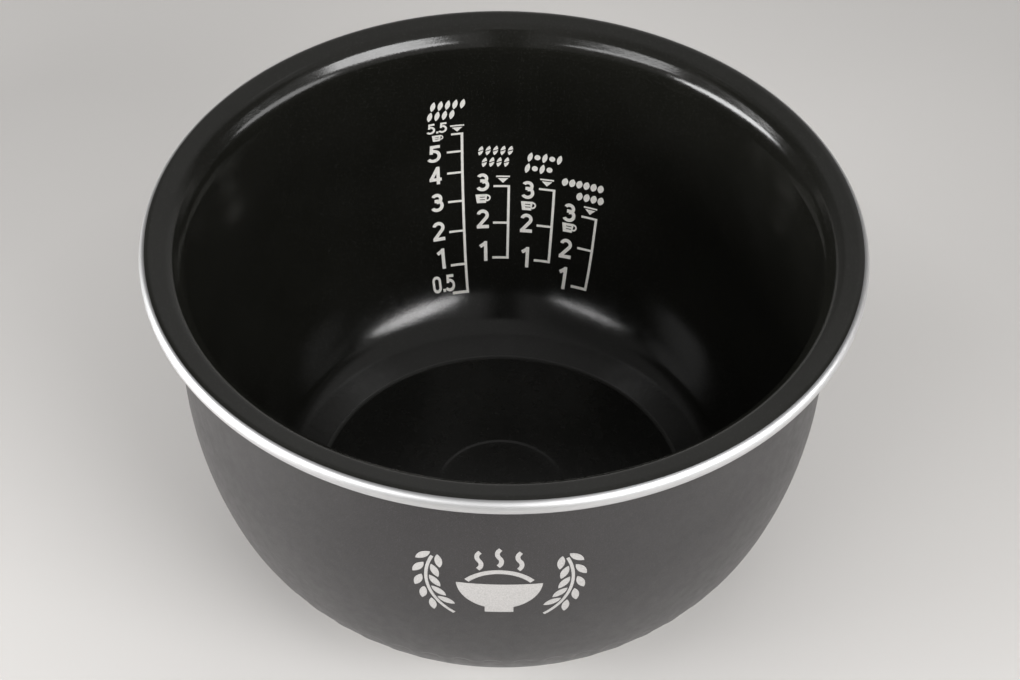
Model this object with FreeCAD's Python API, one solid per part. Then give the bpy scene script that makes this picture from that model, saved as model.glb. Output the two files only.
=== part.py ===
"""Inner pot of a rice cooker: a thick aluminium vessel with a turned bare rim, an induction
plate in its base, a coat outside, a non-stick coat inside and printed measuring scales.

Millimetres.  The origin is the middle of the base, +Z is up through the mouth.  The scales are
on the back wall (+Y side) and the emblem is on the front (-Y side).
"""
import FreeCAD, Part
import math
import os

# ---- driving dimensions ----------------------------------------------------------------------
POT_HEIGHT = 117.0        # base to the top of the flange
RIM_CENTRE_R = 102.85     # centre circle of the rounded rim
RIM_ROUND_R = 2.8         # radius of the rounded rim; the flange is twice this thick
COAT_EDGE_R = 104.0       # outer edge of the inner coat on top of the flange
UNDER_EDGE_R = 102.6      # outer edge of the outer coat under the flange

FLANGE_SLOPE = 10.0       # the flange's top falls inwards by this many degrees
SHOULDER_EDGE_R = 98.8    # where the flange starts to round over into the mouth
SHOULDER_R = 4.8          # rounding from the flange into the mouth
MOUTH_SLOPE = 54.5        # degrees from level
MOUTH_LENGTH = 1.9        # straight part of the mouth; the lip then rounds it into the wall
CAVITY_R = 92.9           # upper wall, inside
CAVITY_FLOOR_Z = 5.5      # cavity floor above the base
FLOOR_R = 58.0            # flat part of the cavity floor
RAMP_SLOPE = 16.0         # the floor breaks into a ramp of this slope
RAMP_LENGTH = 9.4
FLOOR_CORNER_R = 15.2     # floor corner, from the ramp to 45 degrees
LOWER_WALL_R = 48.0       # lower wall, from 45 degrees to the belly angle
DISC_R = 20.2             # sunk disc in the middle of the floor
DISC_DROP = 0.2

BODY_R = 96.2             # upper wall, outside
BODY_STRAIGHT_Z = 75.7    # the wall outside is upright above this height
BELLY_R = 136.0           # belly outside, from upright to the belly angle
BASE_CURVE_R = 65.5       # lower body outside, from the belly angle to 45 degrees
FLANGE_FILLET_R = 2.0     # under the flange

COAT_T = 0.35             # each coat
PLATE_T = 1.2             # induction plate
INK_T = 0.12              # printed marks
PLATE_EDGE = 50.0         # slope of the wall where the coat ends and the plate begins, degrees
BELLY_ANGLE = 18.0        # slope where the belly ends, degrees
STEEP_ANGLE = 45.0        # slope where the lower curve ends, degrees

LINE_W = 0.85             # upright line of a scale
TICK_W = 0.7
TICK_LENGTH = 5.1
DIGIT_H = 6.8             # full-size numeral
STROKE = 0.165            # stroke width of a numeral, as a share of its height
DIGIT_W = 0.60            # width of a numeral, as a share of its height
DIGIT_GAP = 0.09          # between two marks of a number, as a share of its height
GRAIN_W = 1.6
GRAIN_H = 3.9
GRAIN_PITCH = 2.45
GRAIN_LEAN = 14.0         # degrees to the right
FULL_MARK_W = 4.6

# Strokes of the numerals, in shares of their height from the lower left corner.  A straight stroke
# is (from, to) and a curved one is (centre, radius, start direction, end direction).
NUMERALS = {
    "0": [((0.08, 0.30), (0.08, 0.70)), ((0.52, 0.30), (0.52, 0.70)),
          ((0.30, 0.70), 0.22, 0, 180), ((0.30, 0.30), 0.22, 180, 360)],
    "1": [((0.42, 0), (0.42, 1)), ((0.15, 0.74), (0.42, 0.91))],
    "2": [((0.30, 0.70), 0.22, 165, -38), ((0.473, 0.565), (0.10, 0.12)), ((0, 0.08), (0.60, 0.08))],
    "3": [((0.30, 0.33), 0.25, -150, 90), ((0.30, 0.71), 0.205, -90, 150),
          ((0.19, 0.58), (0.39, 0.58))],
    "4": [((0.43, 0), (0.43, 1)), ((0, 0.27), (0.60, 0.27)), ((0.07, 0.27), (0.41, 0.93))],
    "5": [((0.23, 0.37), 0.29, -145, 105), ((0.13, 0.50), (0.16, 1)), ((0.10, 0.92), (0.56, 0.92))],
    ".": [((0, 0.09), (0.18, 0.09))],
}

# Each scale: azimuth of its line from the back towards +X in degrees, length of its top tick, and
# its marks as (cups, height of the tick, height of the numeral, size of the numeral, how far its
# middle stands left of the line).  Then its symbols: grain rows as (grains, offset from the line,
# height), the measuring cup as (offset, height, size) and the full mark as (offset, height).
# All heights are above the cavity floor.
SCALES = {
    "white": {
        "azimuth": -9.0, "top_tick": 3.6, "grain": "plain",
        "marks": [("5.5", 70.5, 73.8, 4.2, 8.2), ("5", 63.2, 63.3, DIGIT_H, 9.2),
                  ("4", 54.7, 54.5, DIGIT_H, 9.2), ("3", 43.6, 44.0, DIGIT_H, 9.2),
                  ("2", 32.5, 33.3, DIGIT_H, 9.2), ("1", 20.8, 23.5, DIGIT_H, 9.2),
                  ("0.5", 12.4, 15.5, 4.9, 9.2)],
        "rows": [(5, -4.7, 83.0), (4, -7.0, 78.9)], "cup": (-8.1, 69.6, 2.4), "full": (-1.6, 72.8)},
    "brown": {
        "azimuth": 0.7, "top_tick": TICK_LENGTH, "grain": "split",
        "marks": [("3", 48.6, 50.2, DIGIT_H, 9.0), ("2", 34.8, 36.3, DIGIT_H, 9.0),
                  ("1", 22.4, 24.7, DIGIT_H, 9.0)],
        "rows": [(5, -4.6, 62.8), (4, -4.6, 58.1)], "cup": (-8.8, 43.9, 3.2), "full": (-2.0, 51.2)},
    "mixed": {
        "azimuth": 10.3, "top_tick": TICK_LENGTH, "grain": "beans",
        "marks": [("3", 48.2, 47.5, DIGIT_H, 9.1), ("2", 34.4, 35.0, DIGIT_H, 9.1),
                  ("1", 22.0, 22.9, DIGIT_H, 9.1)],
        "rows": [(5, -3.7, 60.5), (4, -5.7, 56.0)], "cup": (-8.6, 41.4, 3.2), "full": (-2.6, 50.8)},
    "sticky": {
        "azimuth": 19.9, "top_tick": TICK_LENGTH, "grain": "short",
        "marks": [("3", 40.3, 40.8, DIGIT_H, 9.8), ("2", 28.6, 27.6, DIGIT_H, 9.8),
                  ("1", 15.7, 17.8, DIGIT_H, 9.8)],
        "rows": [(6, -5.8, 52.2), (4, -2.9, 47.6)], "cup": (-9.2, 35.2, 3.2), "full": (-2.4, 42.9)},
}

EMBLEM_Z = 75.0           # middle of the emblem on the front
BOWL_W = 24.0             # rice bowl in the emblem
BOWL_DEPTH = 11.0
FOOT_W = 8.0
FOOT_H = 2.4
HEAP_R = 11.8             # heap of rice over the bowl's rim
HEAP_W = 1.5
STEAM_R = 2.5             # bends of the steam
STEAM_W = 1.3
STEAM_PITCH = 5.6
EAR_R = 20.3              # bend of each ear of rice beside the bowl
EAR_W = 0.9
EAR_GRAINS = 5            # pairs of grains in an ear
EAR_GRAIN_W = 2.1
EAR_GRAIN_H = 5.4
EAR_GRAIN_REACH = 2.3     # from the ear's stem to the middle of its grains
EAR_GRAIN_SPREAD = 28.0   # degrees from the stem

UNDER_Z = POT_HEIGHT - 2 * RIM_ROUND_R
RIM_C = (RIM_CENTRE_R, POT_HEIGHT - RIM_ROUND_R)
PRISM_IN_R = 60.0         # the marks are cut from a thin skin of the wall by prisms that
PRISM_OUT_R = 100.0       # reach from the one radius to the other


# ---- outlines in the XZ half plane -------------------------------------------------------------
def sin(angle):
    return math.sin(math.radians(angle))


def cos(angle):
    return math.cos(math.radians(angle))


def tan(angle):
    return math.tan(math.radians(angle))


def point(r, z):
    return FreeCAD.Vector(r, 0, z)


def line(a, b):
    return Part.LineSegment(point(*a), point(*b)).toShape()


def arc(centre, radius, start, end):
    """Arc from one direction to another, in degrees from +X towards +Z."""
    def at(angle):
        return point(centre[0] + radius * cos(angle), centre[1] + radius * sin(angle))
    return Part.Arc(at(start), at((start + end) / 2), at(end)).toShape()


def revolve(edges):
    """Solid of revolution about Z from the edges of a closed outline, in any order."""
    wire = Part.Wire(Part.sortEdges(edges)[0])
    return Part.Face(wire).revolve(FreeCAD.Vector(0, 0, 0), FreeCAD.Vector(0, 0, 1), 360)


def chained_centre(centre, radius, next_radius, slope):
    """Centre of the arc that carries on from one at a given slope with another radius."""
    step = radius - next_radius
    return centre[0] + step * cos(slope), centre[1] - step * sin(slope)


def on_arc(centre, radius, slope):
    """Point of a wall arc where the wall's outward normal dips by slope below level."""
    return centre[0] + radius * cos(slope), centre[1] - radius * sin(slope)


# cavity: the ramp ends on a tangent to the floor corner, and floor corner, lower wall and belly are
# arcs tangent to each other, centres in (r, z)
FLOOR_CORNER_C = (FLOOR_R + RAMP_LENGTH * cos(RAMP_SLOPE) - FLOOR_CORNER_R * sin(RAMP_SLOPE),
                  CAVITY_FLOOR_Z + RAMP_LENGTH * sin(RAMP_SLOPE) + FLOOR_CORNER_R * cos(RAMP_SLOPE))
LOWER_WALL_C = chained_centre(FLOOR_CORNER_C, FLOOR_CORNER_R, LOWER_WALL_R, STEEP_ANGLE)
LOWER_WALL_TOP = on_arc(LOWER_WALL_C, LOWER_WALL_R, BELLY_ANGLE)
CAVITY_BELLY_R = (CAVITY_R - LOWER_WALL_TOP[0]) / (1 - cos(BELLY_ANGLE))
CAVITY_BELLY_C = (CAVITY_R - CAVITY_BELLY_R, LOWER_WALL_TOP[1] + CAVITY_BELLY_R * sin(BELLY_ANGLE))

# body outside: belly, base curve and base corner, the last one ending flat on the base plane
BELLY_C = (BODY_R - BELLY_R, BODY_STRAIGHT_Z)
BASE_CURVE_C = chained_centre(BELLY_C, BELLY_R, BASE_CURVE_R, BELLY_ANGLE)
BASE_CORNER_R = ((BASE_CURVE_C[1] - BASE_CURVE_R * sin(STEEP_ANGLE))
                 / (1 - sin(STEEP_ANGLE)))
BASE_CORNER_C = chained_centre(BASE_CURVE_C, BASE_CURVE_R, BASE_CORNER_R, STEEP_ANGLE)


# flange and mouth: the flange's top leaves the rim on a tangent, the shoulder rounds it over into
# the mouth's slope, and the lip rounds that into the wall
RIM_EDGE = math.degrees(math.acos((COAT_EDGE_R - RIM_CENTRE_R) / RIM_ROUND_R))
FLANGE_START = (RIM_C[0] - RIM_ROUND_R * sin(FLANGE_SLOPE), RIM_C[1] + RIM_ROUND_R * cos(FLANGE_SLOPE))
SHOULDER_EDGE_Z = FLANGE_START[1] - (FLANGE_START[0] - SHOULDER_EDGE_R) * tan(FLANGE_SLOPE)
SHOULDER_C = (SHOULDER_EDGE_R + SHOULDER_R * sin(FLANGE_SLOPE),
              SHOULDER_EDGE_Z - SHOULDER_R * cos(FLANGE_SLOPE))
MOUTH_FOOT = (SHOULDER_C[0] - SHOULDER_R * sin(MOUTH_SLOPE) - MOUTH_LENGTH * cos(MOUTH_SLOPE),
              SHOULDER_C[1] + SHOULDER_R * cos(MOUTH_SLOPE) - MOUTH_LENGTH * sin(MOUTH_SLOPE))
LIP_R = (MOUTH_FOOT[0] - CAVITY_R) / (1 - sin(MOUTH_SLOPE))
LIP_C = (CAVITY_R + LIP_R, MOUTH_FOOT[1] - LIP_R * cos(MOUTH_SLOPE))


def inward(centre, radius, slope):
    """Point of an arc where the surface falls inwards by slope."""
    return centre[0] - radius * sin(slope), centre[1] + radius * cos(slope)


def flange_top(depth):
    """Mouth, shoulder and flange from the lip to the coat's edge on the rim, set back by depth."""
    shoulder_r = SHOULDER_R - depth
    rim_r = RIM_ROUND_R - depth
    return [
        line(inward(LIP_C, LIP_R - depth, MOUTH_SLOPE), inward(SHOULDER_C, shoulder_r, MOUTH_SLOPE)),
        arc(SHOULDER_C, shoulder_r, 90 + MOUTH_SLOPE, 90 + FLANGE_SLOPE),
        line(inward(SHOULDER_C, shoulder_r, FLANGE_SLOPE), inward(RIM_C, rim_r, FLANGE_SLOPE)),
        arc(RIM_C, rim_r, 90 + FLANGE_SLOPE, RIM_EDGE),
    ]


def cavity_wall(depth):
    """Cavity outline from the ramp's end to the top of the lip, set back into the metal."""
    return [
        arc(FLOOR_CORNER_C, FLOOR_CORNER_R + depth, RAMP_SLOPE - 90, -STEEP_ANGLE),
        arc(LOWER_WALL_C, LOWER_WALL_R + depth, -STEEP_ANGLE, -BELLY_ANGLE),
        arc(CAVITY_BELLY_C, CAVITY_BELLY_R + depth, -BELLY_ANGLE, 0),
        line((CAVITY_R + depth, CAVITY_BELLY_C[1]), (CAVITY_R + depth, LIP_C[1])),
        arc(LIP_C, LIP_R - depth, 180, 90 + MOUTH_SLOPE),
    ]


def cavity_floor(depth):
    """Cavity floor from the axis to the ramp's end, with the sunk disc in the middle."""
    floor_z = CAVITY_FLOOR_Z - depth
    disc_z = floor_z - DISC_DROP
    ramp_foot = (FLOOR_R + depth * tan(RAMP_SLOPE / 2), floor_z)
    ramp_head = (FLOOR_CORNER_C[0] + (FLOOR_CORNER_R + depth) * sin(RAMP_SLOPE),
                 FLOOR_CORNER_C[1] - (FLOOR_CORNER_R + depth) * cos(RAMP_SLOPE))
    return [
        line((0, disc_z), (DISC_R, disc_z)),
        line((DISC_R, disc_z), (DISC_R + DISC_DROP, floor_z)),
        line((DISC_R + DISC_DROP, floor_z), ramp_foot),
        line(ramp_foot, ramp_head),
    ]


def body_wall(depth):
    """Body outline from the flange fillet down to the coat's lower edge, set back by depth."""
    fillet_c = (BODY_R + FLANGE_FILLET_R, UNDER_Z - FLANGE_FILLET_R)
    return [
        arc(fillet_c, FLANGE_FILLET_R + depth, 90, 180),
        line((BODY_R - depth, fillet_c[1]), (BODY_R - depth, BODY_STRAIGHT_Z)),
        arc(BELLY_C, BELLY_R - depth, 0, -BELLY_ANGLE),
        arc(BASE_CURVE_C, BASE_CURVE_R - depth, -BELLY_ANGLE, -STEEP_ANGLE),
        arc(BASE_CORNER_C, BASE_CORNER_R - depth, -STEEP_ANGLE, -PLATE_EDGE),
    ]


def base_outline(depth):
    """Base outline from the plate's edge to the axis, set back by depth."""
    corner = arc(BASE_CORNER_C, BASE_CORNER_R - depth, -PLATE_EDGE, -90)
    return [corner, line((BASE_CORNER_C[0], depth), (0, depth))]


# ---- the layers of the pot ---------------------------------------------------------------------
def rim_step():
    """Edge across the inner coat's end on the rim."""
    return line((COAT_EDGE_R, RIM_C[1] + RIM_ROUND_R * sin(RIM_EDGE)),
                (RIM_C[0] + (RIM_ROUND_R - COAT_T) * cos(RIM_EDGE),
                 RIM_C[1] + (RIM_ROUND_R - COAT_T) * sin(RIM_EDGE)))


def plate_step(depth):
    """Edge across the wall at the plate's upper edge, from the outside to a depth."""
    return line(on_arc(BASE_CORNER_C, BASE_CORNER_R - depth, PLATE_EDGE),
                on_arc(BASE_CORNER_C, BASE_CORNER_R - PLATE_T, PLATE_EDGE))


def aluminium_core():
    """Thick vessel between the coats, with the flange and its bare rounded rim."""
    recess_z = UNDER_Z + COAT_T
    under = [
        arc(RIM_C, RIM_ROUND_R, RIM_EDGE, -90),
        line((RIM_CENTRE_R, UNDER_Z), (UNDER_EDGE_R, UNDER_Z)),
        line((UNDER_EDGE_R, UNDER_Z), (UNDER_EDGE_R, recess_z)),
        line((UNDER_EDGE_R, recess_z), (BODY_R + FLANGE_FILLET_R, recess_z)),
    ]
    inside = cavity_floor(COAT_T) + cavity_wall(COAT_T) + flange_top(COAT_T) + [rim_step()]
    outside = under + body_wall(COAT_T) + [plate_step(COAT_T)] + base_outline(PLATE_T)
    axis = line((0, PLATE_T), (0, CAVITY_FLOOR_Z - DISC_DROP - COAT_T))
    return revolve(inside + outside + [axis])


def induction_plate():
    """Dished ferritic steel plate bonded into the base, the face the pot stands on."""
    axis = line((0, 0), (0, PLATE_T))
    return revolve(base_outline(0) + base_outline(PLATE_T) + [plate_step(0), axis])


def inner_coat():
    """Black non-stick coat over the cavity, the mouth and the top of the flange."""
    disc_z = CAVITY_FLOOR_Z - DISC_DROP
    axis = line((0, disc_z - COAT_T), (0, disc_z))
    face = cavity_floor(0) + cavity_wall(0) + flange_top(0)
    back = cavity_floor(COAT_T) + cavity_wall(COAT_T) + flange_top(COAT_T)
    return revolve(face + [rim_step()] + back + [axis])


def outer_coat():
    """Coat over the body outside, from under the flange to the induction plate."""
    fillet_r = BODY_R + FLANGE_FILLET_R
    face = line((UNDER_EDGE_R, UNDER_Z), (fillet_r, UNDER_Z))
    back = line((UNDER_EDGE_R, UNDER_Z + COAT_T), (fillet_r, UNDER_Z + COAT_T))
    rim_end = line((UNDER_EDGE_R, UNDER_Z), (UNDER_EDGE_R, UNDER_Z + COAT_T))
    base_end = line(on_arc(BASE_CORNER_C, BASE_CORNER_R, PLATE_EDGE),
                    on_arc(BASE_CORNER_C, BASE_CORNER_R - COAT_T, PLATE_EDGE))
    return revolve([face, back, rim_end, base_end] + body_wall(0) + body_wall(COAT_T))


# ---- flat shapes of the printed marks, as prisms through the wall --------------------------------
def prism(wire, front=False):
    """Prism through the back wall, or the front one, from a closed outline at y = 0."""
    start = -PRISM_OUT_R if front else PRISM_IN_R
    solid = Part.Face(wire).extrude(FreeCAD.Vector(0, PRISM_OUT_R - PRISM_IN_R, 0))
    solid.translate(FreeCAD.Vector(0, start, 0))
    return solid


def outline(points):
    return Part.makePolygon([point(*p) for p in points + points[:1]])


def bar(a, b, width):
    """Straight stroke with square ends."""
    length = math.hypot(b[0] - a[0], b[1] - a[1])
    across = (-(b[1] - a[1]) / length * width / 2, (b[0] - a[0]) / length * width / 2)
    return outline([(a[0] + across[0], a[1] + across[1]), (a[0] - across[0], a[1] - across[1]),
                    (b[0] - across[0], b[1] - across[1]), (b[0] + across[0], b[1] + across[1])])


def bow(centre, radius, width, start, end):
    """Curved stroke with square ends, from one direction to another."""
    outer = arc(centre, radius + width / 2, start, end)
    inner = arc(centre, radius - width / 2, start, end)
    def cap(angle):
        return line((centre[0] + (radius - width / 2) * cos(angle),
                     centre[1] + (radius - width / 2) * sin(angle)),
                    (centre[0] + (radius + width / 2) * cos(angle),
                     centre[1] + (radius + width / 2) * sin(angle)))
    return Part.Wire(Part.sortEdges([outer, inner, cap(start), cap(end)])[0])


def disc(centre, radius):
    return Part.Wire([arc(centre, radius, 0, 180), arc(centre, radius, 180, 360)])


def leaf(centre, width, height, lean):
    """Pointed grain of rice, leaning right by lean degrees."""
    def at(u, v):
        return point(centre[0] + u * cos(lean) + v * sin(lean),
                     centre[1] - u * sin(lean) + v * cos(lean))
    right = Part.Arc(at(0, height / 2), at(width / 2, 0), at(0, -height / 2)).toShape()
    left = Part.Arc(at(0, -height / 2), at(-width / 2, 0), at(0, height / 2)).toShape()
    return Part.Wire([right, left])


def joined(wires, front=False):
    solids = [prism(wire, front) for wire in wires]
    return solids[0].multiFuse(solids[1:]).removeSplitter() if solids[1:] else solids[0]


def mark_width(mark):
    """Width of a digit or a point, as a share of the number's height."""
    return STROKE if mark == "." else DIGIT_W


def numeral_wires(mark, height):
    """Outlines of one digit's strokes, from its lower left corner."""
    def at(place):
        return place[0] * height, place[1] * height
    wires = []
    for stroke in NUMERALS[mark]:
        if len(stroke) == 2:
            wires.append(bar(at(stroke[0]), at(stroke[1]), STROKE * height))
        else:
            centre, radius, start, end = stroke
            wires.append(bow(at(centre), radius * height, STROKE * height, start, end))
    return wires


def numeral(text, middle, height):
    """A number centred on a point, one prism for each mark in it."""
    width = sum(mark_width(mark) for mark in text) + DIGIT_GAP * (len(text) - 1)
    left = middle[0] - width * height / 2
    prisms = []
    for mark in text:
        shape = joined(numeral_wires(mark, height))
        shape.translate(FreeCAD.Vector(left, 0, middle[1] - height / 2))
        prisms.append(shape)
        left += (mark_width(mark) + DIGIT_GAP) * height
    return prisms


def grain(kind, index, spot):
    """One grain: long, long with a seam, long or a round bean by turns, or short and thick."""
    if kind == "beans" and index % 2:
        return prism(disc(spot, 0.62 * GRAIN_W))
    if kind == "short":
        return prism(leaf(spot, 1.3 * GRAIN_W, 0.8 * GRAIN_H, GRAIN_LEAN))
    whole = prism(leaf(spot, GRAIN_W, GRAIN_H, GRAIN_LEAN))
    if kind == "split":
        x, z = spot
        seam = bar((x - 0.6 * GRAIN_W, z - 0.35), (x + 0.6 * GRAIN_W, z + 0.35), 0.28 * GRAIN_W)
        return whole.cut(prism(seam))
    return whole


def grain_row(kind, count, middle):
    """Row of grains that shows which rice a scale is for."""
    first = middle[0] - (count - 1) / 2 * GRAIN_PITCH
    return [grain(kind, index, (first + index * GRAIN_PITCH, middle[1])) for index in range(count)]


def measuring_cup(middle, height):
    """Small measuring cup with two level lines and a handle on its right."""
    def at(u, v):
        return middle[0] + u * height, middle[1] + v * height
    body = prism(outline([at(-0.8, 0.5), at(-0.65, -0.5), at(0.3, -0.5), at(0.45, 0.5)]))
    for level in (-0.14, 0.17):
        body = body.cut(prism(bar(at(-0.35, level), at(0.2, level), 0.12 * height)))
    handle = prism(bow(at(0.4, 0.08), 0.31 * height, 0.16 * height, -100, 100))
    return [body.fuse(handle).removeSplitter()]


def full_mark(middle):
    """Arrow head under a short bar: fill no higher than this tick."""
    def at(u, v):
        return middle[0] + u * FULL_MARK_W, middle[1] + v * FULL_MARK_W
    arrow = prism(outline([at(-0.37, 0.1), at(0.37, 0.1), at(0, -0.28)]))
    lid = prism(bar(at(-0.5, 0.26), at(0.5, 0.26), 0.11 * FULL_MARK_W))
    return [arrow, lid]


# ---- printed marks ---------------------------------------------------------------------------
def inner_ink_skin():
    """Thin skin on the cavity wall that the scales are cut from."""
    bottom = on_arc(FLOOR_CORNER_C, FLOOR_CORNER_R, STEEP_ANGLE)
    bottom_face = on_arc(FLOOR_CORNER_C, FLOOR_CORNER_R - INK_T, STEEP_ANGLE)
    top_z = LIP_C[1]
    ends = [line(bottom, bottom_face), line((CAVITY_R, top_z), (CAVITY_R - INK_T, top_z))]
    return revolve(cavity_wall(0)[1:4] + cavity_wall(-INK_T)[1:4] + ends)


def outer_ink_skin():
    """Thin skin on the body that the emblem is cut from."""
    top_z = UNDER_Z - FLANGE_FILLET_R
    bottom = on_arc(BELLY_C, BELLY_R, BELLY_ANGLE)
    bottom_face = on_arc(BELLY_C, BELLY_R + INK_T, BELLY_ANGLE)
    ends = [line(bottom, bottom_face), line((BODY_R, top_z), (BODY_R + INK_T, top_z))]
    return revolve(body_wall(0)[1:3] + body_wall(-INK_T)[1:3] + ends)


def print_on(skin, prisms, azimuth=0.0):
    """Marks cut from a skin by prisms turned to an azimuth from the back towards +X."""
    marks = []
    for solid in prisms:
        turned = solid.copy()
        turned.rotate(FreeCAD.Vector(0, 0, 0), FreeCAD.Vector(0, 0, 1), -azimuth)
        marks.extend(skin.common(turned).Solids)
    return Part.makeCompound(marks)


def azimuth_step(offset):
    """Angle that a distance along the wall spans."""
    return math.degrees(offset / CAVITY_R)


def scale_ruler(skin, scale):
    """Upright line with a tick at each mark, the lowest tick at its foot."""
    ticks = [CAVITY_FLOOR_Z + height for cups, height, *numeral_place in scale["marks"]]
    foot = min(ticks) - TICK_W / 2
    head = max(ticks) + TICK_W / 2
    wires = [bar((0, foot), (0, head), LINE_W)]
    for z in ticks:
        length = scale["top_tick"] if z == max(ticks) else TICK_LENGTH
        wires.append(bar((-length, z), (0, z), TICK_W))
    return print_on(skin, [joined(wires)], scale["azimuth"])


def scale_numerals(skin, scale):
    """Cup numbers beside the ticks, each upright on its own line down the wall."""
    marks = []
    for cups, tick_height, height, size, left in scale["marks"]:
        number = numeral(cups, (0, CAVITY_FLOOR_Z + height), size)
        marks.extend(print_on(skin, number, scale["azimuth"] - azimuth_step(left)).Solids)
    return Part.makeCompound(marks)


def scale_symbols(skin, scale):
    """Grain rows, measuring cup and full mark of a scale."""
    def place(prisms, offset):
        return print_on(skin, prisms, scale["azimuth"] + azimuth_step(offset)).Solids
    marks = []
    for count, offset, height in scale["rows"]:
        marks.extend(place(grain_row(scale["grain"], count, (0, CAVITY_FLOOR_Z + height)), offset))
    offset, height, size = scale["cup"]
    marks.extend(place(measuring_cup((0, CAVITY_FLOOR_Z + height), size), offset))
    offset, height = scale["full"]
    marks.extend(place(full_mark((0, CAVITY_FLOOR_Z + height)), offset))
    return Part.makeCompound(marks)


def emblem_bowl():
    """Rice bowl with a heap of rice and a foot."""
    rim_z = EMBLEM_Z - 2.0
    half = BOWL_W / 2
    curve = Part.Arc(point(half, rim_z), point(0, rim_z - BOWL_DEPTH), point(-half, rim_z)).toShape()
    bowl = Part.Wire([line((-half, rim_z), (half, rim_z)), curve])
    foot_z = rim_z - BOWL_DEPTH - FOOT_H / 4
    foot = bar((-FOOT_W / 2, foot_z), (FOOT_W / 2, foot_z), FOOT_H)
    heap = bow((0, rim_z - 0.54 * HEAP_R), HEAP_R, HEAP_W, 40, 140)
    return [joined([bowl, foot], True), joined([heap], True)]


def emblem_steam():
    """Three curls of steam over the bowl, the middle one a little higher."""
    base_z = EMBLEM_Z + 6.3
    curls = []
    for x, rise in ((-STEAM_PITCH, 0.0), (0.0, 1.4), (STEAM_PITCH, 0.0)):
        low = bow((x - 0.8 * STEAM_R, base_z + rise), STEAM_R, STEAM_W, -50, 40)
        high = bow((x + 0.73 * STEAM_R, base_z + rise + 1.29 * STEAM_R), STEAM_R, STEAM_W, 130, 220)
        curls.append(joined([low, high], True))
    return curls


def emblem_ear(side):
    """Ear of rice that bends up round one side of the bowl, side -1 or 1."""
    centre = (0, EMBLEM_Z - 0.5)
    start = -52 if side > 0 else 232
    end = 24 if side > 0 else 156
    prisms = [joined([bow(centre, EAR_R, EAR_W, start, end)], True)]
    for index in range(EAR_GRAINS):
        angle = start + (end - start) * (index + 1.2) / (EAR_GRAINS + 0.4)
        for way in (1, -1):
            reach = EAR_R + way * EAR_GRAIN_REACH
            spot = (centre[0] + reach * cos(angle), centre[1] + reach * sin(angle))
            spread = way * EAR_GRAIN_SPREAD
            lean = -(angle + spread) if side > 0 else 180 - (angle - spread)
            prisms.append(prism(leaf(spot, EAR_GRAIN_W, EAR_GRAIN_H, lean), True))
    return prisms


def front_emblem(skin):
    prisms = emblem_bowl() + emblem_steam() + emblem_ear(-1) + emblem_ear(1)
    return print_on(skin, prisms)


# ---- write the nodes ---------------------------------------------------------------------------
def nodes():
    yield "aluminium_core", aluminium_core()
    yield "induction_plate", induction_plate()
    yield "inner_coat", inner_coat()
    yield "outer_coat", outer_coat()
    skin = inner_ink_skin()
    for name, scale in SCALES.items():
        yield name + "_rice_ruler", scale_ruler(skin, scale)
        yield name + "_rice_numerals", scale_numerals(skin, scale)
        yield name + "_rice_symbols", scale_symbols(skin, scale)
    yield "front_emblem", front_emblem(outer_ink_skin())


os.makedirs("parts", exist_ok=True)
for node, shape in nodes():
    shape.exportStep("parts/" + node + ".step")
    print(node, len(shape.Solids), "solids", round(shape.Volume, 2), "mm3", shape.isValid())
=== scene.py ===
"""Looks of a rice cooker's inner pot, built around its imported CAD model.

The coats, the metal between them and the base plate are lathed again, finer than the CAD nodes,
with the pressed dimples, turned grooves and softened edges of the real pot.  The printed marks
stay CAD nodes.  Lengths named here are in millimetres and the scene is in metres.  The scales are
on the back wall (+Y side) and the emblem is on the front (-Y side).
"""
import math

import bpy
from mathutils import Matrix, Vector

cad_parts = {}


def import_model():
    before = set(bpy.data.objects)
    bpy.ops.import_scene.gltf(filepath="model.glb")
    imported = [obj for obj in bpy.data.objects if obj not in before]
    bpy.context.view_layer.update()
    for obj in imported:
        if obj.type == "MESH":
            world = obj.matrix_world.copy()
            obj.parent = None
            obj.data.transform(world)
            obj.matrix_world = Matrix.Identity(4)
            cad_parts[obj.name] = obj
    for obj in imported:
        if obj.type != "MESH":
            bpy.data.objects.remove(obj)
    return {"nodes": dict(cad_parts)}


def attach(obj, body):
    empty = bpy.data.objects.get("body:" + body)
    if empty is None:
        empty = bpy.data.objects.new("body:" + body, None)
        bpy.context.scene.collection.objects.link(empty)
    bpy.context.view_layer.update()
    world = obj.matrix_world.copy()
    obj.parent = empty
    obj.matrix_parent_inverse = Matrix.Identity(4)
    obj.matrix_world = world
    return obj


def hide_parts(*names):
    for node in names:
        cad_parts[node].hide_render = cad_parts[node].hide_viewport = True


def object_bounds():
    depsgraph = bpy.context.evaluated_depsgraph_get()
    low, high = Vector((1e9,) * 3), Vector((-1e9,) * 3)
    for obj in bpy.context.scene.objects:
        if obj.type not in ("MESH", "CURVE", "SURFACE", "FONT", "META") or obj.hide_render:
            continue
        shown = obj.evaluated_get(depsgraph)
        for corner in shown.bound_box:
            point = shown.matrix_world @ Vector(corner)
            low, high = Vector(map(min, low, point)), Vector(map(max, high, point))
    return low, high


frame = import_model()
cad_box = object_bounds()

MM = 0.001
SAME_POINT = 1e-4         # outline points nearer than this are one
ON_AXIS = 1e-6            # a smaller radius is on the axis

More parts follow.
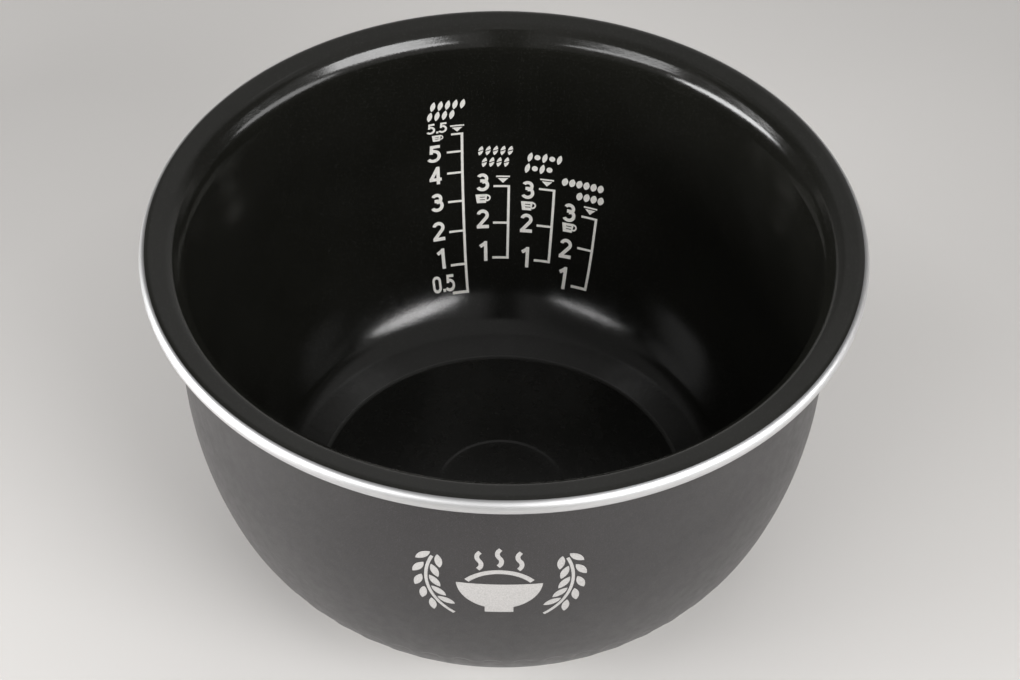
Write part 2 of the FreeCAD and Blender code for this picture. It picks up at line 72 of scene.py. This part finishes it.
# ---- sizes of the pot, as the CAD model has them -------------------------------------------------
POT_HEIGHT = cad_box[1].z / MM
RIM_ROUND_R = 2.8         # the flange is twice this thick
RIM_C = (102.85, POT_HEIGHT - RIM_ROUND_R)
COAT_EDGE_R = 104.0       # where the inner coat ends on the flange
UNDER_EDGE_R = 102.6      # where the outer coat ends under the flange
FLANGE_SLOPE = 10.0
SHOULDER_EDGE_R = 98.8    # where the flange starts to round over into the mouth
SHOULDER_R = 4.8
MOUTH_SLOPE = 54.5
MOUTH_LENGTH = 1.9
CAVITY_R = 92.9
FLOOR_Z = 5.5             # the cavity's flat floor
FLOOR_R = 58.0
RAMP_SLOPE = 16.0         # the floor breaks into a ramp at its edge
RAMP_LENGTH = 9.4
FLOOR_CORNER_R = 15.2
LOWER_WALL_R = 48.0
DISC_R = 20.2
DISC_DROP = 0.2
BODY_R = 96.2
BODY_STRAIGHT_Z = 75.7
BELLY_R = 136.0
BASE_CURVE_R = 65.5
FILLET_R = 2.0
COAT_T = 0.35
PLATE_T = 1.2
PLATE_EDGE = 50.0         # slope at which the plate ends on the wall
BELLY_ANGLE = 18.0        # slopes at which one arc of the wall carries on as the next
STEEP_ANGLE = 45.0

# ---- detail that only this model has -------------------------------------------------------------
RIDGE_PITCH = 4.2         # turned ridges of the cavity floor
RIDGE_RISE = 0.012
RIDGE_STEPS = 12
DISC_EDGE = 0.5           # half the width of the sunk disc's soft edge
DISC_EDGE_STEPS = 8
DIMPLE_COUNT = 60         # ring of pressed dimples round the lower body
DIMPLE_TOP_Z = 28.0
DIMPLE_FOOT_Z = 13.0
DIMPLE_HALF_W = 3.6
DIMPLE_DEPTH = 0.2
DIMPLE_STEEPNESS = 1.6    # over 1 flattens the dimple's middle
DIMPLE_START = -1.2       # azimuth of one dimple from the front towards +X
GROOVE_PITCH = 5.5        # turned grooves under the base
GROOVE_DEPTH = 0.06
GROOVE_STEPS = 10
SEGMENTS = 360
DIMPLED_SEGMENTS = 720
SHARP_ANGLE = 40          # edges sharper than this stay crisp

# ---- camera --------------------------------------------------------------------------------------
CAMERA_DISTANCE = 725.2   # from the middle of the mouth, in millimetres; angles in degrees
CAMERA_ELEVATION = 42.37
CAMERA_PITCH = 44.88      # below level
CAMERA_YAW = 0.222        # towards +X
CAMERA_ROLL = 1.03
LENS_MM = 88.24
SENSOR_MM = 36.0

# ---- lights and floor, in metres and watts -------------------------------------------------------
LIGHT_AIM = 0.4           # share of the pot's height that the lights aim at
LIGHTS = (                # name, azimuth, elevation, distance, width, height, power
    ("softbox_right", 43, 32.5, 1.2, 0.86, 0.31, 11.0),
    ("softbox_left", -41, 31, 1.2, 0.76, 0.18, 3.8),
    ("side_left", -80, 14, 1.2, 0.9, 0.3, 16),
    ("side_right", 80, 14, 1.2, 0.9, 0.3, 4),
    ("rear_right", 144, 61.5, 1.7, 0.30, 0.20, 0.07),
    ("rear_left", -144, 63, 1.7, 0.30, 0.20, 0.06),
)
FLOOR_HALF_WIDTH = 3.0
FLOOR_FRONT = 3.0
FLOOR_BACK = 1.9
FLOOR_BEND = 0.6          # radius of the curve up at its back
PAINTED_SHADE_RANGE = (0.20, 0.70)  # distances from the axis where painted shade darkens the floor
PALING = (1.0, 1.3)       # and where it gets pale

# ---- fill light; each pair is a range of one part of its direction -------------------------------
FILL = 0.62               # strength where nothing weakens it
FILL_COLOUR = (1.0, 0.985, 0.97)
DOORWAY_SHARE = 0.15      # strength left in the dark doorway behind the camera
DOORWAY_SIDE = (0.06, 0.13)
DOORWAY_FRONT = (-0.3, -0.1)
DOORWAY_TOP = (0.84, 0.92)
LEFT_SHARE = 0.5          # strength left on the left
LEFT_SIDE = (-0.30, 0)
LOW_SHARE = 0.2           # strength left low down beside the pot
LOW_FRONT = (-0.25, -0.08)
LOW_BACK = (0.50, 0.68)
LOW_TOP = (0.71, 0.81)

# ---- colours, linear; a pair is the darker and lighter cloud -------------------------------------
COAT_BLACK = ((0.0062, 0.0062, 0.0050), (0.0082, 0.0082, 0.0068))
COAT_PAINTED_HIGHLIGHT = (0.034, 0.034, 0.032)     # painted highlight along the floor's edge
COAT_FLECK = (0.05, 0.05, 0.047)
GRAPHITE = ((0.0285, 0.0262, 0.0270), (0.0375, 0.0348, 0.0352))
GRAPHITE_FLAKE = (0.11, 0.106, 0.108)
ALUMINIUM = ((0.66, 0.66, 0.665), (0.71, 0.71, 0.715))
ALUMINIUM_PAINTED_SHADE = (0.26, 0.26, 0.265)  # painted shade beside the coat's edge
STEEL = ((0.40, 0.395, 0.39), (0.50, 0.495, 0.49))
SCALE_INK = ((0.76, 0.74, 0.70), (0.90, 0.88, 0.83))
EMBLEM_INK = ((0.39, 0.38, 0.37), (0.50, 0.485, 0.475))
FLOOR_NEAR = ((0.585, 0.571, 0.557), (0.605, 0.591, 0.577))
# painted shade: the floor's colour darkens away from the pot
FLOOR_PAINTED_SHADE = (0.17, 0.167, 0.163)
FLOOR_PALE = (0.86, 0.845, 0.83)


def sin(angle):
    return math.sin(math.radians(angle))


def cos(angle):
    return math.cos(math.radians(angle))


def tan(angle):
    return math.tan(math.radians(angle))


# ---- outlines: points (r, z) in millimetres ------------------------------------------------------
def arc(centre, radius, start, end, steps):
    """Points of an arc, from one direction to another in degrees from +r towards +z."""
    points = []
    for index in range(steps + 1):
        angle = start + (end - start) * index / steps
        points.append((centre[0] + radius * cos(angle), centre[1] + radius * sin(angle)))
    return points


def straight(a, b, steps):
    """Points evenly along a line."""
    return [(a[0] + (b[0] - a[0]) * i / steps, a[1] + (b[1] - a[1]) * i / steps)
            for i in range(steps + 1)]


def chained_centre(centre, radius, next_radius, slope):
    """Centre of the arc that carries on from one at a given slope with another radius."""
    step = radius - next_radius
    return centre[0] + step * cos(slope), centre[1] - step * sin(slope)


def joined(*runs):
    """One outline from runs that meet end to end."""
    points = []
    for run in runs:
        for p in run:
            if not points or math.dist(p, points[-1]) > SAME_POINT:
                points.append(p)
    return points


# Heights, radii, angles and centres of arcs, worked out from the sizes above.
UNDER_Z = POT_HEIGHT - 2 * RIM_ROUND_R
FLOOR_CORNER_C = (FLOOR_R + RAMP_LENGTH * cos(RAMP_SLOPE) - FLOOR_CORNER_R * sin(RAMP_SLOPE),
                  FLOOR_Z + RAMP_LENGTH * sin(RAMP_SLOPE) + FLOOR_CORNER_R * cos(RAMP_SLOPE))
LOWER_WALL_C = chained_centre(FLOOR_CORNER_C, FLOOR_CORNER_R, LOWER_WALL_R, STEEP_ANGLE)
CAVITY_BELLY_R = ((CAVITY_R - LOWER_WALL_C[0] - LOWER_WALL_R * cos(BELLY_ANGLE))
                  / (1 - cos(BELLY_ANGLE)))
CAVITY_BELLY_C = chained_centre(LOWER_WALL_C, LOWER_WALL_R, CAVITY_BELLY_R, BELLY_ANGLE)
BELLY_C = (BODY_R - BELLY_R, BODY_STRAIGHT_Z)
BASE_CURVE_C = chained_centre(BELLY_C, BELLY_R, BASE_CURVE_R, BELLY_ANGLE)
BASE_CORNER_R = (BASE_CURVE_C[1] - BASE_CURVE_R * sin(STEEP_ANGLE)) / (1 - sin(STEEP_ANGLE))
BASE_CORNER_C = chained_centre(BASE_CURVE_C, BASE_CURVE_R, BASE_CORNER_R, STEEP_ANGLE)
RIM_EDGE = math.degrees(math.acos((COAT_EDGE_R - RIM_C[0]) / RIM_ROUND_R))  # the coat ends here
SHOULDER_C = (SHOULDER_EDGE_R + SHOULDER_R * sin(FLANGE_SLOPE),
              RIM_C[1] + (RIM_ROUND_R - SHOULDER_R) * cos(FLANGE_SLOPE)
              - (RIM_C[0] - RIM_ROUND_R * sin(FLANGE_SLOPE) - SHOULDER_EDGE_R) * tan(FLANGE_SLOPE))
MOUTH_FOOT = (SHOULDER_C[0] - SHOULDER_R * sin(MOUTH_SLOPE) - MOUTH_LENGTH * cos(MOUTH_SLOPE),
              SHOULDER_C[1] + SHOULDER_R * cos(MOUTH_SLOPE) - MOUTH_LENGTH * sin(MOUTH_SLOPE))
LIP_R = (MOUTH_FOOT[0] - CAVITY_R) / (1 - sin(MOUTH_SLOPE))
LIP_C = (CAVITY_R + LIP_R, MOUTH_FOOT[1] - LIP_R * cos(MOUTH_SLOPE))


def flange_outline(depth):
    """Mouth, shoulder and flange from the lip to the coat's edge on the rim, set back."""
    lip = arc(LIP_C, LIP_R - depth, 180, 90 + MOUTH_SLOPE, 24)
    shoulder = arc(SHOULDER_C, SHOULDER_R - depth, 90 + MOUTH_SLOPE, 90 + FLANGE_SLOPE, 24)
    rim = arc(RIM_C, RIM_ROUND_R - depth, 90 + FLANGE_SLOPE, RIM_EDGE, 10)
    return joined(lip, straight(lip[-1], shoulder[0], 10), shoulder,
                  straight(shoulder[-1], rim[0], 8), rim)


def floor_outline(depth):
    """Cavity floor from the axis out: a sunk disc with a soft edge, then turned ridges."""
    top_z = FLOOR_Z - depth
    points = straight((0, top_z - DISC_DROP), (DISC_R - DISC_EDGE, top_z - DISC_DROP), 6)
    for index in range(1, DISC_EDGE_STEPS + 1):
        share = index / DISC_EDGE_STEPS
        r = DISC_R - DISC_EDGE + 2 * DISC_EDGE * share
        points.append((r, top_z - DISC_DROP * (1 + math.cos(math.pi * share)) / 2))
    start = DISC_R + 2 * DISC_EDGE
    end = FLOOR_R - RIDGE_PITCH / 4
    ridges = round((end - start) / RIDGE_PITCH)
    for index in range(ridges * RIDGE_STEPS + 1):
        share = index / (ridges * RIDGE_STEPS)
        wave = (1 - math.cos(2 * math.pi * ridges * share)) / 2
        points.append((start + (end - start) * share, top_z + RIDGE_RISE * wave))
    points.append((FLOOR_R + depth * tan(RAMP_SLOPE / 2), top_z))
    return points


def cavity_outline(depth):
    """Cavity from the ramp over the lip to the rim, set back into the metal."""
    corner = arc(FLOOR_CORNER_C, FLOOR_CORNER_R + depth, RAMP_SLOPE - 90, -STEEP_ANGLE, 24)
    foot = (FLOOR_R + depth * tan(RAMP_SLOPE / 2), FLOOR_Z - depth)
    return joined(
        straight(foot, corner[0], 8),
        corner,
        arc(LOWER_WALL_C, LOWER_WALL_R + depth, -STEEP_ANGLE, -BELLY_ANGLE, 24),
        arc(CAVITY_BELLY_C, CAVITY_BELLY_R + depth, -BELLY_ANGLE, 0, 36),
        straight((CAVITY_R + depth, CAVITY_BELLY_C[1]), (CAVITY_R + depth, LIP_C[1]), 12),
        flange_outline(depth))


def body_outline(depth):
    """Body from under the flange down to the coat's lower edge, set back by depth."""
    fillet_c = (BODY_R + FILLET_R, UNDER_Z - FILLET_R)
    return joined(
        arc(fillet_c, FILLET_R + depth, 90, 180, 12),
        straight((BODY_R - depth, fillet_c[1]), (BODY_R - depth, BODY_STRAIGHT_Z), 12),
        arc(BELLY_C, BELLY_R - depth, 0, -BELLY_ANGLE, 36),
        arc(BASE_CURVE_C, BASE_CURVE_R - depth, -BELLY_ANGLE, -STEEP_ANGLE, 60),
        arc(BASE_CORNER_C, BASE_CORNER_R - depth, -STEEP_ANGLE, -PLATE_EDGE, 6))


def corner_outline(depth):
    """Base corner from the plate's edge to the flat base, set back by depth."""
    return arc(BASE_CORNER_C, BASE_CORNER_R - depth, -PLATE_EDGE, -90, 24)


# ---- meshes --------------------------------------------------------------------------------------
def outward(outline, index):
    """Direction across the outline at one of its points, to the right of its run."""
    before = outline[max(index - 1, 0)]
    after = outline[min(index + 1, len(outline) - 1)]
    run = (after[0] - before[0], after[1] - before[1])
    length = math.hypot(*run)
    return run[1] / length, -run[0] / length


def faces_between(pairs, segments):
    """Faces between pairs of rows of vertices; a row of one vertex is a point on the axis."""
    faces = []
    for low, high in pairs:
        for step in range(segments):
            corner = (step + 1) % segments
            if len(low) == 1:
                faces.append((low[0], high[corner], high[step]))
            elif len(high) == 1:
                faces.append((low[step], low[corner], high[0]))
            else:
                faces.append((low[step], low[corner], high[corner], high[step]))
    return faces


def lathe(name, outline, segments, dent=None):
    """Closed body of revolution from an outline.  It runs from the axis round to the axis, or is a
    closed ring.  dent(r, z, azimuth) is how far a point is pressed in, against outward()."""
    vertices, rows = [], []
    for index, (r, z) in enumerate(outline):
        if r < ON_AXIS:
            rows.append([len(vertices)])
            vertices.append((0, 0, z * MM))
            continue
        across = outward(outline, index)
        rows.append(range(len(vertices), len(vertices) + segments))
        for step in range(segments):
            azimuth = 360 * step / segments
            pressed = dent(r, z, azimuth) if dent else 0
            reach, height = r - pressed * across[0], z - pressed * across[1]
            vertices.append((reach * sin(azimuth) * MM, -reach * cos(azimuth) * MM, height * MM))
    pairs = list(zip(rows, rows[1:]))
    if outline[0][0] >= ON_AXIS:
        pairs.append((rows[-1], rows[0]))
    mesh = bpy.data.meshes.new(name)
    mesh.from_pydata(vertices, [], faces_between(pairs, segments))
    mesh.validate()
    mesh.shade_smooth()
    mesh.set_sharp_from_angle(angle=math.radians(SHARP_ANGLE))
    piece = bpy.data.objects.new(name, mesh)
    bpy.context.scene.collection.objects.link(piece)
    return piece


def dimple(r, z, azimuth):
    """How deep the ring of dimples is pressed in at a point of the body's outside."""
    pitch = 360 / DIMPLE_COUNT
    offset = (azimuth - DIMPLE_START + pitch / 2) % pitch - pitch / 2
    across = math.radians(offset) * r / DIMPLE_HALF_W
    middle = min(max(z, DIMPLE_FOOT_Z + DIMPLE_HALF_W), DIMPLE_TOP_Z - DIMPLE_HALF_W)
    along = (z - middle) / DIMPLE_HALF_W
    share = 1 - across * across - along * along
    return DIMPLE_DEPTH * min(1, DIMPLE_STEEPNESS * share) if share > 0 else 0


def inner_coat():
    """Non-stick coat over the cavity, the mouth and the flange, with a crisp masked edge."""
    face = joined(floor_outline(0), cavity_outline(0))
    back = joined(cavity_outline(COAT_T)[::-1], floor_outline(COAT_T)[::-1])
    return lathe("nonstick_coat", face + back, SEGMENTS)


def outer_coat():
    """Graphite coat over the body, with the ring of dimples pressed into its face."""
    under = straight((UNDER_EDGE_R, UNDER_Z), (BODY_R + FILLET_R, UNDER_Z), 6)
    face = joined(under, body_outline(0))
    back = joined(body_outline(COAT_T)[::-1], [(UNDER_EDGE_R, UNDER_Z + COAT_T)])
    return lathe("graphite_body_coat", (face + back)[::-1], DIMPLED_SEGMENTS, dimple)


def metal_core():
    """Aluminium vessel between the coats, with the bare turned rim."""
    rim = arc(RIM_C, RIM_ROUND_R, RIM_EDGE, -90, 40)
    recess = [(UNDER_EDGE_R, UNDER_Z), (UNDER_EDGE_R, UNDER_Z + COAT_T)]
    inside = joined(floor_outline(COAT_T), cavity_outline(COAT_T))
    outside = joined(rim, recess, body_outline(COAT_T), corner_outline(PLATE_T), [(0, PLATE_T)])
    return lathe("bare_aluminium_core", joined(inside, outside), SEGMENTS)


def base_plate():
    """Steel induction plate with shallow turned grooves in its flat face."""
    flat_r = BASE_CORNER_C[0]
    grooves = round(flat_r / GROOVE_PITCH) - 1
    steps = grooves * GROOVE_STEPS
    flat = []
    for index in range(steps + 1):
        share = index / steps
        wave = (1 - math.cos(2 * math.pi * grooves * share)) / 2
        flat.append((flat_r * share, GROOVE_DEPTH * wave))
    bottom = joined(flat, corner_outline(0)[::-1])
    top = joined(corner_outline(PLATE_T), [(0, PLATE_T)])
    return lathe("steel_base_plate", bottom + top, SEGMENTS)


# ---- materials -----------------------------------------------------------------------------------
class Graph:
    """A node tree with short ways to add nodes to it."""

    def __init__(self, tree):
        self.tree = tree

    def add(self, kind, **settings):
        """A shader node of a kind, with its settings."""
        node = self.tree.nodes.new("ShaderNode" + kind)
        for name, value in settings.items():
            setattr(node, name, value)
        return node

    def link(self, output, target):
        self.tree.links.new(output, target)

    def math(self, operation, first, second=None):
        """The result of a calculation on outputs or plain numbers."""
        node = self.add("Math", operation=operation)
        for socket, value in zip(node.inputs, (first, second)):
            if value is None:
                continue
            if hasattr(value, "links"):
                self.link(value, socket)
            else:
                socket.default_value = value
        return node.outputs[0]

    def spread(self, value, low, high, from_low=0.3, from_high=0.7):
        """A value mapped from one range to another, and held at its ends."""
        node = self.add("MapRange")
        for name, number in (("From Min", from_low), ("From Max", from_high),
                             ("To Min", low), ("To Max", high)):
            node.inputs[name].default_value = number
        self.link(value, node.inputs["Value"])
        return node.outputs["Result"]


class Surface(Graph):
    """A material with its shader."""

    def __init__(self, name):
        self.material = bpy.data.materials.new(name)
        self.material.use_nodes = True
        super().__init__(self.material.node_tree)
        self.shader = self.tree.nodes["Principled BSDF"]

    def set(self, **values):
        """Values that are the same all over, on the shader's own sockets."""
        for name, value in values.items():
            self.shader.inputs[name.replace("_", " ")].default_value = value

    def places(self):
        """Position on the pot in metres, the same for every piece."""
        return self.add("TexCoord").outputs["Object"]

    def noise(self, scale, detail, roughness=0.5):
        """Noise in space; scale is lumps per metre."""
        node = self.add("TexNoise")
        node.inputs["Scale"].default_value = scale
        node.inputs["Detail"].default_value = detail
        node.inputs["Roughness"].default_value = roughness
        self.link(self.places(), node.inputs["Vector"])
        return node.outputs["Fac"]

    def blend(self, share, first, second):
        """Two colours mixed by a share."""
        node = self.add("Mix", data_type="RGBA")
        self.link(share, node.inputs["Factor"])
        for socket, colour in ((node.inputs[6], first), (node.inputs[7], second)):
            if hasattr(colour, "links"):
                self.link(colour, socket)
            else:
                socket.default_value = (*colour, 1)
        return node.outputs[2]

    def clouds(self, scale, detail, colours):
        """Two colours mixed by soft noise."""
        return self.blend(self.spread(self.noise(scale, detail), 0, 1), *colours)

    def bump(self, height, distance, strength=1.0, below=None):
        """Normals from a height, with the distance in millimetres, over another bump below."""
        node = self.add("Bump")
        node.inputs["Distance"].default_value = distance * MM
        node.inputs["Strength"].default_value = strength
        self.link(height, node.inputs["Height"])
        if below:
            self.link(below, node.inputs["Normal"])
        return node.outputs["Normal"]

    def radius(self):
        """Distance from the pot's axis, and the height, in metres."""
        split = self.add("SeparateXYZ")
        self.link(self.places(), split.inputs[0])
        x, y, z = split.outputs
        squares = [self.math("MULTIPLY", value, value) for value in (x, y)]
        return self.math("SQRT", self.math("ADD", *squares)), z

    def lathe_lines(self, place, scale):
        """Noise along one coordinate, the same all the way round."""
        noise = self.add("TexNoise", noise_dimensions="1D")
        noise.inputs["Scale"].default_value = scale
        noise.inputs["Detail"].default_value = 3
        self.link(place, noise.inputs["W"])
        return noise.outputs["Fac"]

    def round_angle(self, centre):
        """Angle in radians round a ring whose section has this centre (r, z), from +r to +z."""
        radius, height = self.radius()
        return self.math("ARCTAN2", self.math("SUBTRACT", height, centre[1] * MM),
                         self.math("SUBTRACT", radius, centre[0] * MM))

    def band(self, middle, half):
        """One within a ring of radii, fading to nothing at its edges."""
        away = self.math("ABSOLUTE", self.math("SUBTRACT", self.radius()[0], middle * MM))
        return self.spread(away, 1, 0, 0.6 * half * MM, 1.4 * half * MM)

    def paint(self, colour, roughness=None, normal=None):
        """The material, with these linked to its shader."""
        for value, name in ((colour, "Base Color"), (roughness, "Roughness"), (normal, "Normal")):
            if value:
                self.link(value, self.shader.inputs[name])
        return self.material


def nonstick():
    """Black fluoropolymer: semi-gloss, fine orange peel, sparse mica flecks, a painted highlight
    along the floor's edge, and duller on the floor."""
    s = Surface("nonstick_black")
    s.set(IOR=1.39)
    # painted highlight: a lighter ring of colour at the floor's edge
    with_edge_highlight = s.blend(s.band(FLOOR_R + 0.5, 0.6), s.clouds(38, 3, COAT_BLACK), COAT_PAINTED_HIGHLIGHT)
    colour = s.blend(s.spread(s.noise(5200, 0), 0, 1, 0.74, 0.82), with_edge_highlight, COAT_FLECK)
    floor_share = s.spread(s.radius()[0], 1, 0, (FLOOR_R - 1.0) * MM, FLOOR_R * MM)
    duller_floor = s.math("MULTIPLY", floor_share, 0.12)
    rough = s.math("ADD", s.spread(s.noise(260, 4), 0.12, 0.17), duller_floor)
    peel = s.bump(s.noise(1700, 1), 0.013)
    return s.paint(colour, rough, s.bump(s.noise(420, 2), 0.012, 1.0, peel))


def graphite():
    """Satin graphite paint with metal flake and a slightly warm cast."""
    s = Surface("graphite_coat")
    s.set(Metallic=0.35, IOR=1.5, Coat_Weight=0.15, Coat_Roughness=0.35)
    flake = s.spread(s.noise(6500, 1), 0, 1, 0.55, 0.8)
    colour = s.blend(flake, s.clouds(22, 3, GRAPHITE), GRAPHITE_FLAKE)
    rough = s.spread(s.noise(300, 3), 0.38, 0.46)
    return s.paint(colour, rough, s.bump(s.noise(2600, 1), 0.008))


def turned_aluminium():
    """Bare rim left from the lathe: satin, with fine lines round it, and painted shade beside the
    coat.
    """
    s = Surface("bare_aluminium")
    s.set(Metallic=1.0)
    angle = s.round_angle(RIM_C)
    lines = s.lathe_lines(angle, 34)
    edge = math.radians(RIM_EDGE)
    # painted shade: the rim's colour is darker next to the coat's edge
    painted_shade_share = s.spread(angle, 0, 1, edge - 0.5, edge)
    colour = s.blend(painted_shade_share, s.clouds(30, 3, ALUMINIUM), ALUMINIUM_PAINTED_SHADE)
    rough = s.spread(lines, 0.42, 0.52)
    return s.paint(colour, rough, s.bump(lines, 0.012, 0.6, s.bump(s.noise(900, 2), 0.004)))


def turned_steel():
    """Ferritic steel plate, turned on its face, with light scuffs."""
    s = Surface("base_steel")
    s.set(Metallic=1.0)
    lines = s.lathe_lines(s.radius()[0], 2600)
    colour = s.clouds(26, 4, STEEL)
    rough = s.spread(lines, 0.26, 0.42)
    return s.paint(colour, rough, s.bump(lines, 0.015, 0.7, s.bump(s.noise(700, 3), 0.004)))


def ink(name, colours):
    """Matt printed film, slightly thin and grainy in places."""
    s = Surface(name)
    s.set(IOR=1.45)
    grain = s.noise(2400, 3, 0.7)
    colour = s.blend(s.spread(grain, 0, 1, 0.35, 0.6), *colours)
    rough = s.spread(s.noise(160, 2), 0.42, 0.6)
    return s.paint(colour, rough, s.bump(grain, 0.01))


def plain_floor():
    """Pale paper with painted shade that gets darker away from the pot, and pale again about a
    metre out.
    """
    s = Surface("pale_floor")
    s.set(Roughness=0.5)
    radius = s.radius()[0]
    near = s.clouds(3, 2, FLOOR_NEAR)
    # painted shade: the floor's colour darkens with distance from the pot
    with_painted_shade = s.blend(s.spread(radius, 0, 1, *PAINTED_SHADE_RANGE), near, FLOOR_PAINTED_SHADE)
    return s.paint(s.blend(s.spread(radius, 0, 1, *PALING), with_painted_shade, FLOOR_PALE))


def layer(piece, material, node):
    """A lathed piece in place of the CAD node that it stands for."""
    piece.data.materials.append(material)
    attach(piece, "root")
    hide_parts(node)


def repaint(node, material):
    """Another material on a CAD node that is shown as it is."""
    for place in frame["nodes"][node].material_slots:
        place.material = material


# ---- stage ---------------------------------------------------------------------------------------
def floor():
    """Pale ground that curves up behind the pot."""
    curve_y = FLOOR_BACK - FLOOR_BEND
    section = [(-FLOOR_FRONT, 0.0), (curve_y, 0.0)]
    section += [(curve_y + FLOOR_BEND * sin(angle), FLOOR_BEND - FLOOR_BEND * cos(angle))
                for angle in range(6, 91, 6)]
    vertices = [(side * FLOOR_HALF_WIDTH, y, z) for y, z in section for side in (-1, 1)]
    faces = [(2 * i, 2 * i + 1, 2 * i + 3, 2 * i + 2) for i in range(len(section) - 1)]
    mesh = bpy.data.meshes.new("floor")
    mesh.from_pydata(vertices, [], faces)
    mesh.shade_smooth()
    mesh.materials.append(plain_floor())
    ground = bpy.data.objects.new("floor", mesh)
    bpy.context.scene.collection.objects.link(ground)


def softbox(name, azimuth, elevation, distance, width, height, power):
    """Area light aimed at the middle of the pot; azimuth is from the front towards +X."""
    data = bpy.data.lights.new(name, "AREA")
    data.shape = "ELLIPSE"
    data.size = width
    data.size_y = height
    data.energy = power
    light = bpy.data.objects.new(name, data)
    away = Vector((cos(elevation) * sin(azimuth), -cos(elevation) * cos(azimuth), sin(elevation)))
    target = Vector((0, 0, POT_HEIGHT * MM * LIGHT_AIM))
    light.location = target + away * distance
    light.rotation_euler = away.to_track_quat("Z", "Y").to_euler()
    bpy.context.scene.collection.objects.link(light)


def camera():
    """Camera in front of the pot, looking down into it, with a slight turn and roll."""
    data = bpy.data.cameras.new("camera")
    data.lens = LENS_MM
    data.sensor_width = SENSOR_MM
    view = bpy.data.objects.new("camera", data)
    reach = CAMERA_DISTANCE * MM
    place = Vector((0, -reach * cos(CAMERA_ELEVATION),
                    POT_HEIGHT * MM + reach * sin(CAMERA_ELEVATION)))
    ahead = Vector((sin(CAMERA_YAW) * cos(CAMERA_PITCH),
                    cos(CAMERA_YAW) * cos(CAMERA_PITCH),
                    -sin(CAMERA_PITCH)))
    level = Vector((cos(CAMERA_YAW), -sin(CAMERA_YAW), 0))
    upright = level.cross(ahead)
    right = level * cos(CAMERA_ROLL) + upright * sin(CAMERA_ROLL)
    up = upright * cos(CAMERA_ROLL) - level * sin(CAMERA_ROLL)
    turn = Matrix((right, up, -ahead)).transposed()
    view.matrix_world = Matrix.Translation(place) @ turn.to_4x4()
    bpy.context.scene.collection.objects.link(view)
    bpy.context.scene.camera = view


def world():
    """Fill, weaker low down at the sides and on the left, with a dark doorway behind the camera."""
    sky = bpy.data.worlds.new("studio")
    sky.use_nodes = True
    g = Graph(sky.node_tree)
    split = g.add("SeparateXYZ")
    g.link(g.add("TexCoord").outputs["Generated"], split.inputs[0])
    x, y, z = split.outputs
    narrow = g.spread(g.math("ABSOLUTE", x), 1, 0, *DOORWAY_SIDE)
    front = g.spread(y, 1, 0, *DOORWAY_FRONT)
    under_lintel = g.spread(z, 1, 0, *DOORWAY_TOP)
    doorway = g.math("MULTIPLY", g.math("MULTIPLY", narrow, front), under_lintel)
    beside = g.math("MULTIPLY", g.spread(y, 0, 1, *LOW_FRONT), g.spread(y, 1, 0, *LOW_BACK))
    low = g.math("MULTIPLY", g.spread(z, 1, 0, *LOW_TOP), beside)
    shares = (g.spread(doorway, 1, DOORWAY_SHARE, 0, 1),
              g.spread(x, LEFT_SHARE, 1, *LEFT_SIDE),
              g.spread(low, 1, LOW_SHARE, 0, 1))
    fill = FILL
    for share in shares:
        fill = g.math("MULTIPLY", share, fill)
    background = g.tree.nodes["Background"]
    background.inputs["Color"].default_value = (*FILL_COLOUR, 1)
    g.link(fill, background.inputs["Strength"])
    bpy.context.scene.world = sky
    bpy.context.scene.view_settings.view_transform = "Standard"


# ---- put it together -----------------------------------------------------------------------------
camera()
world()
floor()
for light in LIGHTS:
    softbox(*light)

layer(inner_coat(), nonstick(), "inner_coat")
layer(outer_coat(), graphite(), "outer_coat")
layer(metal_core(), turned_aluminium(), "aluminium_core")
layer(base_plate(), turned_steel(), "induction_plate")

scale_ink = ink("scale_ink", SCALE_INK)
for node in frame["nodes"]:
    if "_rice_" in node:
        repaint(node, scale_ink)
repaint("front_emblem", ink("emblem_ink", EMBLEM_INK))
